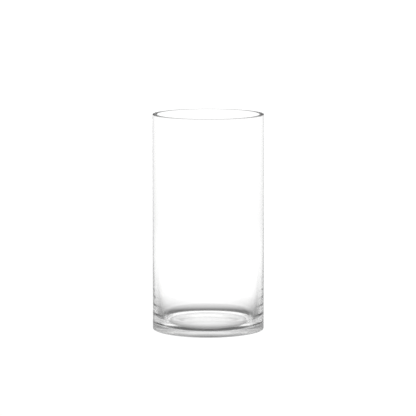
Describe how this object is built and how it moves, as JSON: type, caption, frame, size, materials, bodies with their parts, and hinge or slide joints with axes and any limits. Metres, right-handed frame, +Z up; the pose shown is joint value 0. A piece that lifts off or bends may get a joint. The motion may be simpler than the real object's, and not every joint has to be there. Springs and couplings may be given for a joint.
{
  "type": "glass cylinder vase",
  "caption": "Straight-sided clear glass cylinder vase with an open flat rim and a thick base, for cut flowers or candles.",
  "frame": {"origin": "centre of the flat ring that the vase stands on", "axes": "+Z up along the vase's axis of revolution, towards the open rim; X and Y are equivalent"},
  "size_m": [0.103, 0.103, 0.2],
  "materials": {
    "clear_glass": "clear colourless soda-lime glass, fire-polished, smooth inside and out"
  },
  "bodies": {
    "root": {"base_cup": "clear_glass", "wall_tube": "clear_glass"}
  },
  "joints": []
}
